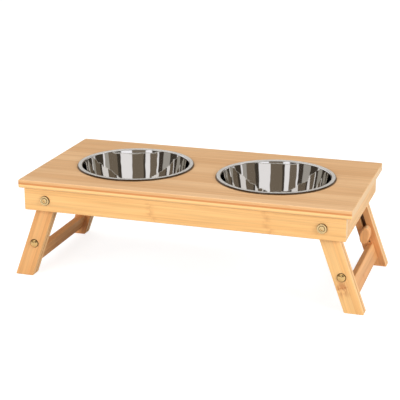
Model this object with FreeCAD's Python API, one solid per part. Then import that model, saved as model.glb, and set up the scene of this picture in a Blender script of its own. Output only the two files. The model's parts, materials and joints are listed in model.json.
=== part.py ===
import FreeCAD, Part
import math
import os

# Raised stand for two feeding bowls: a bamboo top on an apron frame, with two
# folding leg frames. Each leg is two flat layers. The outer layer swings on the
# apron, and the slotted inner layer slides down it to raise the stand.
# Millimetres and degrees. Origin on the floor under the middle of the stand,
# +X to the right, +Y to the rear, +Z up.

# Top board
board_length = 470.0
board_depth = 240.0
board_thickness = 12.0
stand_height = 148.0
board_edge_radius = 2.0

# Apron frame under the board
apron_height = 32.0
apron_thickness = 12.0
apron_end_setback = 7.5
apron_face_setback = 3.5
wood_ease = 1.0

# Legs
splay = 20.0
leg_width = 25.0
leg_layer = 9.0
leg_ease = 0.8
pivot_drop = 16.0
stop_clearance = 0.35
apron_leg_gap = 0.6
layer_gap = 0.3
inner_leg_corner = 5.0
inner_leg_nut_gap = 3.0
slot_top_margin = 15.0
guide_above_crossbar = 2.8
clamp_to_guide = 13.9

# Crossbar between the two inner layers of a leg frame
crossbar_width = 9.5
crossbar_height = 24.0
crossbar_foot_gap = 12.5
crossbar_ease = 1.5

# Bolts, washers, nuts and guide pins
bolt_diameter = 6.0
bolt_head_diameter = 12.5
bolt_head_height = 3.2
bolt_head_edge = 0.7
neck_length = 3.5
pivot_head_diameter = 13.5
pivot_head_height = 3.0
pivot_head_edge = 1.0
socket_flats = 5.0
socket_depth = 1.8
washer_width = 3.5
washer_thickness = 1.2
nut_flats = 10.0
nut_height = 5.0
bolt_end_past_nut = 1.5
guide_pin_depth = 6.0
guide_groove_depth = 5.0
guide_hole_diameter = 3.0

# Clearances
running_clearance = 0.05
slot_clearance = 0.5
face_clearance = 0.3
glue_clearance = 0.05

# Clamp knobs
knob_length = 24.5
knob_width = 14.5
knob_thickness = 16.0
knob_edge_radius = 1.8
rear_knob_lean = 9.0
front_knob_lean = -20.0
insert_wall = 1.3
insert_length = 10.0
bore_end_gap = 0.5

# Wood screws that hold the crossbars
screw_diameter = 3.6
screw_head_diameter = 7.0
screw_head_height = 2.4
screw_length = 30.0
screw_spacing = 11.0
screw_sink = 0.2

# Hidden dowels
dowel_diameter = 6.0
corner_dowel_length = 24.0
corner_dowel_in_apron = 8.0
corner_dowel_spacing = 16.0
board_dowel_length = 16.0
board_dowel_in_board = 7.0
board_dowels_per_apron = 3
board_dowel_pitch = 105.0

# Bowls
bowl_place_ratio = 0.485
bowl_body_radius = 78.0
bowl_depth = 62.0
bowl_taper = 9.2
bowl_wall = 0.8
bowl_base_radius = 9.0
bowl_shoulder_radius = 1.8
bowl_hole_clearance = 1.5
bowl_hole_ease = 0.8
rim_overlap = 4.5
rim_rise = 2.6
rim_edge_radius = 1.4

# Heights and faces that follow from the sizes above
splay_rad = math.radians(splay)
board_under = stand_height - board_thickness
apron_bottom = board_under - apron_height
pivot_z = board_under - pivot_drop
apron_outer_y = board_depth / 2 - apron_face_setback
apron_inner_y = apron_outer_y - apron_thickness
apron_end_x = board_length / 2 - apron_end_setback
rail_inner_x = apron_end_x - apron_thickness
bowl_centre_x = bowl_place_ratio * rail_inner_x

# The open leg's outer edge comes to rest on the end rail's inner lower edge.
stop_reach = (leg_width / 2 + stop_clearance) / math.cos(splay_rad)
stop_reach += (pivot_z - apron_bottom) * math.tan(splay_rad)
pivot_x = rail_inner_x - stop_reach

# Depths of the leg layers and of what is clamped on them, from the apron inwards
outer_layer_y = apron_inner_y - apron_leg_gap
outer_layer_in_y = outer_layer_y - leg_layer
inner_layer_y = outer_layer_in_y - layer_gap
inner_layer_in_y = inner_layer_y - leg_layer
clamp_washer_y = inner_layer_in_y - face_clearance
knob_base_y = clamp_washer_y - washer_thickness - face_clearance

# Stations along a leg, measured down from its pivot
leg_reach = pivot_z / math.cos(splay_rad)
crossbar_low = leg_reach - crossbar_foot_gap
crossbar_mid = crossbar_low - crossbar_height / 2
crossbar_top = crossbar_low - crossbar_height
slot_width = bolt_diameter + 2 * slot_clearance
guide_along = crossbar_top - guide_above_crossbar
clamp_along = guide_along - clamp_to_guide
inner_leg_top = bolt_diameter / 2 + washer_width + inner_leg_nut_gap
slot_high = inner_leg_top + slot_top_margin
slot_low = clamp_along

# Radii of fits
bolt_radius = bolt_diameter / 2
running_radius = bolt_radius + running_clearance
neck_side = bolt_diameter
neck_hole_side = neck_side + 2 * glue_clearance
dowel_radius = dowel_diameter / 2
dowel_hole_radius = dowel_radius + glue_clearance
bowl_hole_radius = bowl_body_radius + bowl_hole_clearance
bowl_rim_radius = bowl_hole_radius + rim_overlap

vec = FreeCAD.Vector
along_y = vec(0, 1, 0)
along_z = vec(0, 0, 1)
origin = vec(0, 0, 0)


def block(x_low, x_high, y_low, y_high, z_low, z_high):
    size = (x_high - x_low, y_high - y_low, z_high - z_low)
    return Part.makeBox(size[0], size[1], size[2], vec(x_low, y_low, z_low))


def rod_y(radius, x, z, y_low, y_high):
    return Part.makeCylinder(radius, y_high - y_low, vec(x, y_low, z), along_y)


def rod_z(radius, x, y, z_low, z_high):
    return Part.makeCylinder(radius, z_high - z_low, vec(x, y, z_low), along_z)


def same(shape):
    return shape


def mirror_x(shape):
    return shape.mirror(origin, vec(1, 0, 0))


def mirror_y(shape):
    return shape.mirror(origin, vec(0, 1, 0))


def both_ends_y(shape):
    return [shape, mirror_y(shape)]


def ease_edges(shape, radius, keep):
    edges = [edge for edge in shape.Edges if keep(edge)]
    return shape.makeFillet(radius, edges)


def edge_runs_in_plane(edge, axis, level):
    box = edge.BoundBox
    low = {"x": box.XMin, "y": box.YMin, "z": box.ZMin}[axis]
    high = {"x": box.XMax, "y": box.YMax, "z": box.ZMax}[axis]
    return abs(low - level) < 1e-4 and abs(high - level) < 1e-4


def rounded_path(corners):
    # Open path in the XZ plane through (x, z, radius) corners, each rounded by an arc.
    points = [vec(x, 0, z) for x, z, radius in corners]
    edges = []
    last = points[0]
    for before, here, after, corner in zip(points, points[1:], points[2:], corners[1:]):
        back = (before - here).normalize()
        ahead = (after - here).normalize()
        half_angle = back.getAngle(ahead) / 2
        reach = corner[2] / math.tan(half_angle)
        bisector = (back + ahead).normalize()
        centre = here + bisector * (corner[2] / math.sin(half_angle))
        start = here + back * reach
        end = here + ahead * reach
        edges.append(Part.LineSegment(last, start).toShape())
        edges.append(Part.Arc(start, centre - bisector * corner[2], end).toShape())
        last = end
    edges.append(Part.LineSegment(last, points[-1]).toShape())
    return Part.Wire(edges)


def on_right_leg(shape):
    # From the leg's own frame, pivot at the origin and leg hanging down -Z,
    # to the splayed place of the right-hand legs.
    placed = shape.copy()
    placed.rotate(origin, along_y, -splay)
    placed.translate(vec(pivot_x, 0, pivot_z))
    return placed


def save(name, shapes):
    shape = shapes[0] if len(shapes) == 1 else Part.makeCompound(shapes)
    shape.exportStep("parts/" + name + ".step")


# Apron frame and board

def corner_dowel_heights():
    middle = apron_bottom + apron_height / 2
    return [middle - corner_dowel_spacing / 2, middle + corner_dowel_spacing / 2]


def corner_dowels(radius):
    # Dowels between each end rail's ends and the aprons.
    rail_mid_x = rail_inner_x + apron_thickness / 2
    y_high = apron_inner_y + corner_dowel_in_apron
    y_low = y_high - corner_dowel_length
    right_rear = [rod_y(radius, rail_mid_x, z, y_low, y_high) for z in corner_dowel_heights()]
    right = right_rear + [mirror_y(dowel) for dowel in right_rear]
    return right + [mirror_x(dowel) for dowel in right]


def board_dowels(radius):
    # Upright dowels from the tops of the aprons and rails into the board.
    z_high = board_under + board_dowel_in_board
    z_low = z_high - board_dowel_length
    apron_mid_y = apron_outer_y - apron_thickness / 2
    rail_mid_x = apron_end_x - apron_thickness / 2
    dowels = []
    for index in range(board_dowels_per_apron):
        x = (index - (board_dowels_per_apron - 1) / 2) * board_dowel_pitch
        dowels += both_ends_y(rod_z(radius, x, apron_mid_y, z_low, z_high))
    end_dowel = rod_z(radius, rail_mid_x, 0, z_low, z_high)
    return dowels + [end_dowel, mirror_x(end_dowel)]


def make_top_board():
    half_x = board_length / 2
    half_y = board_depth / 2
    board = block(-half_x, half_x, -half_y, half_y, board_under, stand_height)
    board = board.makeFillet(board_edge_radius, board.Edges)
    for x in (-bowl_centre_x, bowl_centre_x):
        board = board.cut(rod_z(bowl_hole_radius, x, 0, board_under - 1, stand_height + 1))
    rim_edges = [edge for edge in board.Edges if is_hole_edge(edge)]
    board = board.makeFillet(bowl_hole_ease, rim_edges)
    return board.cut(Part.makeCompound(board_dowels(dowel_hole_radius)))


def is_hole_edge(edge):
    box = edge.BoundBox
    flat = box.ZLength < 0.01
    return flat and abs(box.XLength - 2 * bowl_hole_radius) < 0.1


def make_rear_apron():
    apron = block(-apron_end_x, apron_end_x, apron_inner_y, apron_outer_y, apron_bottom, board_under)
    apron = ease_edges(apron, wood_ease, is_apron_show_edge)
    for x in (-pivot_x, pivot_x):
        apron = apron.cut(rod_y(running_radius, x, pivot_z, apron_inner_y - 1, apron_outer_y + 1))
    holes = corner_dowels(dowel_hole_radius) + board_dowels(dowel_hole_radius)
    return apron.cut(Part.makeCompound(holes))


def is_apron_show_edge(edge):
    lower = edge_runs_in_plane(edge, "z", apron_bottom)
    ends = edge_runs_in_plane(edge, "y", apron_outer_y) and not edge_runs_in_plane(edge, "z", board_under)
    return lower or ends


def make_right_end_rail():
    rail = block(rail_inner_x, apron_end_x, -apron_inner_y, apron_inner_y, apron_bottom, board_under)
    rail = ease_edges(rail, wood_ease, is_rail_show_edge)
    holes = corner_dowels(dowel_hole_radius) + board_dowels(dowel_hole_radius)
    return rail.cut(Part.makeCompound(holes))


def is_rail_show_edge(edge):
    return edge_runs_in_plane(edge, "z", apron_bottom) and edge_runs_in_plane(edge, "x", apron_end_x)


# Fasteners, each along Y with its head towards the outside of the stand

def square_rod(side, x, z, y_low, y_high):
    return block(x - side / 2, x + side / 2, y_low, y_high, z - side / 2, z + side / 2)


def dome_bolt(seat_y, end_y, x, z):
    # Domed head with a short straight edge, square neck and plain shank.
    head_radius = bolt_head_diameter / 2
    dome_base = seat_y + bolt_head_edge
    dome_top = seat_y + bolt_head_height
    dome_mid_x = head_radius * math.sin(math.radians(45))
    dome_rise = dome_top - dome_base
    sphere = (head_radius ** 2 + dome_rise ** 2) / (2 * dome_rise)
    dome_mid_y = dome_top - sphere + math.sqrt(sphere ** 2 - dome_mid_x ** 2)
    dome = Part.Arc(vec(head_radius, dome_base, 0), vec(dome_mid_x, dome_mid_y, 0), vec(0, dome_top, 0))
    sides = Part.makePolygon([vec(0, dome_top, 0), vec(0, seat_y, 0), vec(head_radius, seat_y, 0),
                              vec(head_radius, dome_base, 0)])
    outline = Part.Wire(sides.Edges + [dome.toShape()])
    head = Part.Face(outline).revolve(origin, along_y, 360)
    head.translate(vec(x, 0, z))
    neck = square_rod(neck_side, x, z, seat_y - neck_length, seat_y)
    shank = rod_y(bolt_radius, x, z, end_y, seat_y)
    return head.fuse(neck).fuse(shank).removeSplitter()


def socket_bolt(seat_y, end_y, x, z):
    # Low head with a rounded edge and a hexagon socket, on a plain shank.
    head_top = seat_y + pivot_head_height
    head = rod_y(pivot_head_diameter / 2, x, z, seat_y, head_top)
    head = ease_edges(head, pivot_head_edge, lambda edge: edge_runs_in_plane(edge, "y", head_top))
    socket = hex_rod(socket_flats, x, z, head_top - socket_depth, head_top + 1)
    shank = rod_y(bolt_radius, x, z, end_y, seat_y)
    return head.cut(socket).fuse(shank).removeSplitter()


def washer(x, z, outer_face_y):
    low = outer_face_y - washer_thickness
    disc = rod_y(bolt_radius + washer_width, x, z, low, outer_face_y)
    return disc.cut(rod_y(running_radius, x, z, low - 1, outer_face_y + 1))


def hex_rod(flats, x, z, y_low, y_high):
    corner = flats / math.sqrt(3)
    turns = [math.radians(60 * step) for step in range(7)]
    ring = [vec(x + corner * math.cos(turn), y_low, z + corner * math.sin(turn)) for turn in turns]
    return Part.Face(Part.makePolygon(ring)).extrude(vec(0, y_high - y_low, 0))


def hex_nut(x, z, outer_face_y):
    low = outer_face_y - nut_height
    prism = hex_rod(nut_flats, x, z, low, outer_face_y)
    return prism.cut(rod_y(running_radius, x, z, low - 1, outer_face_y + 1))


def at_four_pivots(make):
    right_rear = make(pivot_x, pivot_z)
    right = both_ends_y(right_rear)
    return right + [mirror_x(shape) for shape in right]


def make_pivot_bolt(x, z):
    nut_inner_y = pivot_washer_y() - washer_thickness - nut_height
    return socket_bolt(apron_outer_y, nut_inner_y - bolt_end_past_nut, x, z)


def pivot_washer_y():
    return outer_layer_in_y - face_clearance


# Leg frames, drawn in the leg's own frame: x across, -z down the leg

def foot_corners():
    # The foot is cut level with the floor, so it slants across the leg.
    half = leg_width / 2
    slant = half * math.tan(splay_rad)
    return (half, -leg_reach - slant), (-half, -leg_reach + slant)


def outer_leg_outline():
    # Full-round end about the pivot, straight edges and the foot.
    half = leg_width / 2
    foot_right, foot_left = foot_corners()
    crown = Part.Arc(vec(-half, 0, 0), vec(0, 0, half), vec(half, 0, 0))
    sides = Part.makePolygon([vec(half, 0, 0), vec(foot_right[0], 0, foot_right[1]),
                              vec(foot_left[0], 0, foot_left[1]), vec(-half, 0, 0)])
    return Part.Wire(sides.Edges + [crown.toShape()])


def inner_leg_outline():
    # Square end with rounded corners below the pivot nut, and the same foot.
    half = leg_width / 2
    foot_right, foot_left = foot_corners()
    sides = rounded_path([(foot_right[0], foot_right[1], 0),
                          (half, -inner_leg_top, inner_leg_corner),
                          (-half, -inner_leg_top, inner_leg_corner),
                          (foot_left[0], foot_left[1], 0)])
    foot = Part.makePolygon([vec(foot_left[0], 0, foot_left[1]), vec(foot_right[0], 0, foot_right[1])])
    return Part.Wire(sides.Edges + foot.Edges)


def leg_slab(outline, outer_y):
    slab = Part.Face(outline).extrude(vec(0, leg_layer, 0))
    slab.translate(vec(0, outer_y - leg_layer, 0))
    return ease_edges(slab, leg_ease, lambda edge: edge.BoundBox.YLength < leg_layer / 2)


def long_hole(width, along_low, along_high, y_low, y_high):
    # Straight slot with round ends, cut along the middle of the leg.
    half = width / 2
    ends = [rod_y(half, 0, -along, y_low, y_high) for along in (along_low, along_high)]
    middle = block(-half, half, y_low, y_high, -along_high, -along_low)
    return middle.fuse(ends)


def make_outer_leg():
    leg = leg_slab(outer_leg_outline(), outer_layer_y)
    leg = leg.cut(rod_y(running_radius, 0, 0, outer_layer_in_y - 1, outer_layer_y + 1))
    leg = leg.cut(rod_y(running_radius, 0, -clamp_along, outer_layer_in_y - 1, outer_layer_y + 1))
    neck_seat = square_rod(neck_hole_side, 0, -clamp_along, outer_layer_y - neck_length, outer_layer_y + 1)
    guide_hole = rod_y(bolt_radius + glue_clearance, 0, -guide_along, outer_layer_in_y - 1,
                       outer_layer_in_y + guide_pin_depth)
    return on_right_leg(leg.cut(neck_seat).cut(guide_hole))


def make_inner_leg():
    # The clamp bolt runs in the through slot. The guide pin runs in a blind groove
    # that carries on below it, with a small hole behind the pin to drive it out.
    leg = leg_slab(inner_leg_outline(), inner_layer_y)
    groove_floor_y = inner_layer_y - guide_groove_depth
    leg = leg.cut(long_hole(slot_width, slot_high, slot_low, inner_layer_in_y - 1, inner_layer_y + 1))
    leg = leg.cut(long_hole(slot_width, slot_low, guide_along, groove_floor_y, inner_layer_y + 1))
    leg = leg.cut(rod_y(guide_hole_diameter / 2, 0, -guide_along, inner_layer_in_y - 1, groove_floor_y + 1))
    screws = Part.makeCompound(crossbar_end_screws(glue_clearance))
    return on_right_leg(leg.cut(screws))


def crossbar_end_screws(allowance):
    # Countersunk screws through the inner layer into the crossbar's end.
    screws = []
    for along in (crossbar_mid - screw_spacing / 2, crossbar_mid + screw_spacing / 2):
        head_y = inner_layer_y - screw_sink
        head_radius = screw_head_diameter / 2 + allowance
        shank_radius = screw_diameter / 2 + allowance
        cone = Part.makeCone(shank_radius, head_radius, screw_head_height,
                             vec(0, head_y - screw_head_height, -along), along_y)
        shank = rod_y(shank_radius, 0, -along, head_y - screw_length, head_y - screw_head_height)
        screw = cone.fuse(shank)
        if allowance > 0:
            screw = screw.fuse(rod_y(head_radius, 0, -along, head_y, inner_layer_y + 1))
        screws.append(screw.removeSplitter())
    return screws


def make_crossbar():
    half = crossbar_width / 2
    bar = block(-half, half, -inner_layer_in_y, inner_layer_in_y, -crossbar_low, -crossbar_top)
    bar = ease_edges(bar, crossbar_ease, lambda edge: edge.BoundBox.YLength > inner_layer_in_y)
    screws = crossbar_end_screws(glue_clearance)
    screws += [mirror_y(screw) for screw in screws]
    return on_right_leg(bar.cut(Part.makeCompound(screws)))


def make_clamp_bolt():
    end_y = knob_base_y - insert_length + bore_end_gap
    return on_right_leg(dome_bolt(outer_layer_y, end_y, 0, -clamp_along))


def make_guide_pin():
    pin_end_y = inner_layer_y - guide_groove_depth + face_clearance
    return on_right_leg(rod_y(bolt_radius, 0, -guide_along, pin_end_y, outer_layer_in_y + guide_pin_depth))


def make_clamp_washer():
    return on_right_leg(washer(0, -clamp_along, clamp_washer_y))


# Knobs

def clamp_point():
    x = pivot_x + clamp_along * math.sin(splay_rad)
    z = pivot_z - clamp_along * math.cos(splay_rad)
    return vec(x, 0, z)


def at_clamp(shape, lean):
    # Each knob is left where it came to rest when it was tightened.
    placed = shape.copy()
    placed.rotate(origin, along_y, lean)
    placed.translate(clamp_point())
    return placed


def insert_radius():
    return running_radius + insert_wall


def make_knob(lean):
    ellipse = Part.Ellipse(origin, knob_length / 2, knob_width / 2)
    oval = Part.Face(Part.Wire([ellipse.toShape()]))
    knob = oval.extrude(vec(0, 0, knob_thickness))
    knob = ease_edges(knob, knob_edge_radius, lambda edge: edge_runs_in_plane(edge, "z", knob_thickness))
    # Long axis from X to Z, and the rounded face from +Z to -Y.
    knob.rotate(origin, vec(1, 0, 0), 90)
    knob.rotate(origin, along_y, -90)
    knob.translate(vec(0, knob_base_y, 0))
    bore = rod_y(insert_radius() + glue_clearance, 0, 0, knob_base_y - insert_length, knob_base_y + 1)
    return at_clamp(knob.cut(bore), lean)


def make_knob_insert(lean):
    low = knob_base_y - insert_length
    bush = rod_y(insert_radius(), 0, 0, low, knob_base_y)
    bush = bush.cut(rod_y(running_radius, 0, 0, low - 1, knob_base_y + 1))
    return at_clamp(bush, lean)


# Bowls

def make_right_bowl():
    # Pressed sheet: flat base, tapered wall, rounded shoulder and a rim turned down on the board.
    rim_seat = stand_height + face_clearance
    rim_top = stand_height + rim_rise
    base = rim_top - bowl_depth
    skin = rounded_path([(0, base, 0),
                         (bowl_body_radius - bowl_taper, base, bowl_base_radius),
                         (bowl_body_radius, rim_top - bowl_wall, bowl_shoulder_radius),
                         (bowl_rim_radius - bowl_wall, rim_top - bowl_wall, rim_edge_radius - bowl_wall),
                         (bowl_rim_radius - bowl_wall, rim_seat, 0)])
    sheet = skin.makeOffset2D(bowl_wall, 0, True, True, False)
    bowl = sheet.revolve(origin, along_z, 360)
    bowl.translate(vec(bowl_centre_x, 0, 0))
    return bowl


def save_leg_frame(side, place):
    outer_leg = make_outer_leg()
    inner_leg = make_inner_leg()
    for end, turn, lean in (("rear", same, rear_knob_lean), ("front", mirror_y, front_knob_lean)):
        save(side + "_outer_leg_" + end, [place(turn(outer_leg))])
        save(side + "_inner_leg_" + end, [place(turn(inner_leg))])
        save(side + "_knob_" + end, [place(turn(make_knob(lean)))])
        save(side + "_knob_insert_" + end, [place(turn(make_knob_insert(lean)))])
    screws = [on_right_leg(screw) for screw in crossbar_end_screws(0)]
    screws += [mirror_y(screw) for screw in screws]
    save(side + "_crossbar", [place(make_crossbar())])
    save(side + "_crossbar_screws", [place(screw) for screw in screws])
    save(side + "_clamp_bolts", [place(bolt) for bolt in both_ends_y(make_clamp_bolt())])
    save(side + "_clamp_washers", [place(ring) for ring in both_ends_y(make_clamp_washer())])
    save(side + "_guide_pins", [place(pin) for pin in both_ends_y(make_guide_pin())])


os.makedirs("parts", exist_ok=True)
rear_apron = make_rear_apron()
right_rail = make_right_end_rail()
right_bowl = make_right_bowl()
save("top_board", [make_top_board()])
save("rear_apron", [rear_apron])
save("front_apron", [mirror_y(rear_apron)])
save("right_end_rail", [right_rail])
save("left_end_rail", [mirror_x(right_rail)])
save("corner_dowels", corner_dowels(dowel_radius))
save("board_dowels", board_dowels(dowel_radius))
save("pivot_bolts", at_four_pivots(make_pivot_bolt))
save("pivot_washers", at_four_pivots(lambda x, z: washer(x, z, pivot_washer_y())))
save("pivot_nuts", at_four_pivots(lambda x, z: hex_nut(x, z, pivot_washer_y() - washer_thickness)))
save("right_bowl", [right_bowl])
save("left_bowl", [mirror_x(right_bowl)])
save_leg_frame("right", same)
save_leg_frame("left", mirror_x)
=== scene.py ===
import json
import math
import bpy
from mathutils import Matrix, Vector


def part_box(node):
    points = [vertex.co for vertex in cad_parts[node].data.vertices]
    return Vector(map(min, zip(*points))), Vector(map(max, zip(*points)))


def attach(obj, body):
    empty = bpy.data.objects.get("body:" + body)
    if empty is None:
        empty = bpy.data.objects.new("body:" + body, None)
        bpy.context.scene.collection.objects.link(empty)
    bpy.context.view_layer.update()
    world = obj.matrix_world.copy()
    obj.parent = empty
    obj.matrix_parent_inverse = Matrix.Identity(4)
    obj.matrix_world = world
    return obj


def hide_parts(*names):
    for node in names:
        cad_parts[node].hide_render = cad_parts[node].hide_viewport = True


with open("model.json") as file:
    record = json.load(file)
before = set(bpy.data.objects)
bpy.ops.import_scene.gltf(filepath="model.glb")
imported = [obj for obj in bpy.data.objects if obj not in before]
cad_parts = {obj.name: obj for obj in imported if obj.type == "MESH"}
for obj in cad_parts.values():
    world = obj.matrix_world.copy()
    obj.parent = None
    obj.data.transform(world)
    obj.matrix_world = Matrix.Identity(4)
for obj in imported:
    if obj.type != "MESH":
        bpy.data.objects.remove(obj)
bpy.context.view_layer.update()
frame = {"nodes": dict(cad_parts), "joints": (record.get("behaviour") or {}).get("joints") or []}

SIDES = ("left", "right")
ENDS = ("front", "rear")
SIDE_SIGN = {"left": -1.0, "right": 1.0}
END_SIGN = {"front": -1.0, "rear": 1.0}
JOINTS = {joint["name"]: joint for joint in frame["joints"]}
NODES = frame["nodes"]
MM = 0.001

# Where the photograph was taken from, in metres
CAMERA_PLACE = Vector((0.4787, -1.5236, 0.6104))
CAMERA_AIM = Vector((-0.0096, 0.0084, 0.1010))
CAMERA_LENS = 104.9
CAMERA_SENSOR = 36.0


def paint(red, green, blue):
    """A colour given as it looks on screen, 0 to 255, as shader values."""
    linear = []
    for value in (red / 255, green / 255, blue / 255):
        low = value / 12.92
        high = ((value + 0.055) / 1.055) ** 2.4
        linear.append(low if value <= 0.04045 else high)
    return (*linear, 1.0)


# Colours of the woods
RING_BROWN = paint(178, 104, 56)
# Painted shade along the legs' seams, and painted light on the legs' side faces, partly pale edge wood
SEAM_SHADE_BROWN = paint(128, 72, 34)
LEG_EDGE_PAINTED_LIGHT = paint(252, 208, 146)
# Painted shade seen through the slots of the legs
SLOT_SHADE_BROWN = paint(74, 42, 22)
# Painted shade on the board around the bowls' rims
RIM_SHADE_BROWN = paint(96, 70, 48)
END_LIGHT = paint(238, 200, 150)
END_DEEP = paint(190, 138, 84)
PLY_LIGHT = paint(222, 166, 104)
# Pale lower plies: their own colour, with painted light added
PLY_PALE_WITH_PAINTED_LIGHT = paint(252, 208, 140)
PLY_DEEP = paint(204, 126, 64)
# The board's top is painted paler and greyer than the aprons, a painted sheen
SHEENED_TOP_LIGHT = paint(232, 190, 143)
SHEENED_TOP_DEEP = paint(211, 163, 114)
APRON_LIGHT = paint(247, 199, 134)
APRON_DEEP = paint(230, 172, 104)
# Painted light and shade: inner leg layers are darker and redder for the shade they lie in, and each listed
# leg has its own lighter or darker tone for the light and shade on it
SHADED_INNER_LEG_LIGHT = paint(234, 170, 110)
SHADED_INNER_LEG_DEEP = paint(212, 143, 84)
LEG_TONES_FOR_LIGHT_AND_SHADE = {"right_outer_leg_front": (paint(243, 196, 132), paint(224, 164, 98)),
             "left_outer_leg_front": (paint(240, 186, 124), paint(214, 150, 88)),
             "right_outer_leg_rear": (paint(238, 182, 120), paint(218, 154, 92)),
             "left_outer_leg_rear": (paint(240, 188, 126), paint(220, 158, 96)),
             "left_inner_leg_front": (paint(243, 186, 130), paint(224, 160, 104))}
BAR_LIGHT = paint(238, 180, 118)
BAR_DEEP = paint(218, 152, 92)
KNOB_LIGHT = paint(250, 186, 124)
KNOB_DEEP = paint(238, 170, 108)

# Colours of the metals
PIVOT_GOLD = paint(250, 218, 160)
DOME_GOLD = paint(255, 212, 142)
# Painted shade and dark reflection on the bolt heads
BOLT_PAINTED_SHADE = paint(88, 58, 30)
STEEL = paint(238, 236, 232)
# Painted dark reflection on the rolled edges of the bowls' rims
ROLLED_EDGE_DARK_REFLECTION = paint(104, 94, 84)
ZINC_GREY = paint(190, 192, 194)
BRASS_YELLOW = paint(214, 178, 96)

# Directions along the stand's length, depth and height, and along and across the legs
LONG = Vector((1, 0, 0))
DEEP = Vector((0, 1, 0))
UP = Vector((0, 0, 1))


def leg_direction(side):
    return Vector(JOINTS[side + "_height_slide"]["axis"]).normalized()


def leg_across(side):
    down = leg_direction(side)
    return Vector((-down.z, 0, down.x)) * SIDE_SIGN[side]


# Sizes, the same as those of the CAD nodes and joints
PIVOT = Vector(JOINTS["right_leg_fold"]["pos_m"])
CLAMP = Vector(JOINTS["right_knob_rear_turn"]["pos_m"])
DOWN = leg_direction("right")
SPLAY = math.atan2(DOWN.x, -DOWN.z)
CLAMP_ALONG = (CLAMP - PIVOT).length
LEG_HALF = 12.5 * MM
BOLT_RADIUS = 3.0 * MM
BORE = 3.05 * MM
BOARD_HOLE = 79.5 * MM
SLOT_HALF = 3.5 * MM
SLOT_HIGH = 24.5 * MM
GUIDE_ALONG = 88.4 * MM
INNER_TOP = 9.5 * MM
LEG_REACH = PIVOT.z / math.cos(SPLAY)
LEG_SPARE = 20 * MM
GROOVE_DEPTH = 5 * MM
DRIFT_RADIUS = 1.5 * MM
BAR_HALF_THICKNESS = 4.75 * MM
BAR_HALF_WIDTH = 12 * MM
KNOB_WIDTH = 14.5 * MM
KNOB_HEIGHT = 24.5 * MM
REAR_KNOB_LEAN = 9
FRONT_KNOB_LEAN = -20
BOLT_POINT = 0.5 * MM
HEAD_EDGE = 0.2 * MM
DOME_RADIUS = 6.25 * MM
DOME_EDGE = 0.7 * MM
PIVOT_HEAD_RADIUS = 6.75 * MM
PIVOT_NUT_HEIGHT = 5 * MM
PIVOT_BOLT_END = 1.5 * MM
SOCKET_RADIUS = 2.887 * MM
SOCKET_DEPTH = 1.8 * MM
BOWL_WALL = 0.8 * MM

# Painted shade and dark reflection: dark rings on the heads of the bolts, each from one radius to another
DOME_SHADE_RINGS = ((5.5 * MM, 9 * MM),)
PIVOT_SHADE_RINGS = ((3.5 * MM, 4.3 * MM), (6.4 * MM, 9 * MM))

# Widths of the bamboo strips that each kind of piece is glued up from
BOARD_STRIP = 24 * MM
APRON_STRIP = 16.5 * MM
LEG_STRIP = 26 * MM
BAR_STRIP = 12 * MM
KNOB_STRIP = 9 * MM
DOWEL_STRIP = 6 * MM

# How far a cutting tool reaches past the wood, and how near a vertex counts as being on a line
PAST = 10 * MM
NEAR = 0.01 * MM


# Shader building blocks

def add_node(tree, kind, inputs=None, **settings):
    node = tree.nodes.new(kind)
    for key, value in settings.items():
        setattr(node, key, value)
    for key, value in (inputs or {}).items():
        if isinstance(value, bpy.types.NodeSocket):
            tree.links.new(value, node.inputs[key])
        else:
            node.inputs[key].default_value = value
    return node


def calc(tree, operation, first, second=0.0, third=0.0):
    inputs = {0: first, 1: second, 2: third}
    return add_node(tree, "ShaderNodeMath", inputs, operation=operation).outputs[0]


def invert(tree, value):
    return calc(tree, "SUBTRACT", 1.0, value)


def times(tree, first, second):
    return calc(tree, "MULTIPLY", first, second)


def apart(tree, first, second):
    """Distance between two values."""
    return calc(tree, "ABSOLUTE", calc(tree, "SUBTRACT", first, second))


def split(tree, vector):
    return add_node(tree, "ShaderNodeSeparateXYZ", {0: vector}).outputs


def distance_from(tree, first, second, first_place, second_place):
    """Radius about a line that crosses the two given axes at a place."""
    first = calc(tree, "SUBTRACT", first, first_place)
    second = calc(tree, "SUBTRACT", second, second_place)
    squares = calc(tree, "MULTIPLY_ADD", first, first, times(tree, second, second))
    return calc(tree, "POWER", squares, 0.5)


def ease(tree, value, low, high):
    """0 below low and 1 above high, with a soft step between."""
    inputs = {"Value": value, "From Min": low, "From Max": high}
    step = add_node(tree, "ShaderNodeMapRange", inputs, interpolation_type="SMOOTHSTEP")
    return step.outputs["Result"]


def blend(tree, factor, first, second, mode="MIX"):
    inputs = {0: factor, 6: first, 7: second}
    mixer = add_node(tree, "ShaderNodeMix", inputs, data_type="RGBA", blend_type=mode)
    return mixer.outputs[2]


def stretch(tree, vector, x, y, z):
    inputs = {0: vector, 1: (x, y, z)}
    return add_node(tree, "ShaderNodeVectorMath", inputs, operation="MULTIPLY").outputs[0]


def scatter(tree, value):
    """A random value from 0 to 1 for each whole number."""
    return add_node(tree, "ShaderNodeTexWhiteNoise", {"W": value}, noise_dimensions="1D").outputs["Value"]


def speckle(tree, vector, scale, detail=2.0, roughness=0.5):
    inputs = {"Vector": vector, "Scale": scale, "Detail": detail, "Roughness": roughness}
    return add_node(tree, "ShaderNodeTexNoise", inputs).outputs["Fac"]


def new_group(name, inputs, outputs):
    group = bpy.data.node_groups.new(name, "ShaderNodeTree")
    for label, kind, value in inputs:
        socket = group.interface.new_socket(label, in_out="INPUT", socket_type="NodeSocket" + kind)
        if value is not None:
            socket.default_value = value
    for label, kind in outputs:
        group.interface.new_socket(label, in_out="OUTPUT", socket_type="NodeSocket" + kind)
    taken = group.nodes.new("NodeGroupInput").outputs
    given = group.nodes.new("NodeGroupOutput").inputs
    return group, taken, given


def add_group(tree, group, inputs):
    return add_node(tree, "ShaderNodeGroup", inputs, node_tree=group).outputs


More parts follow.
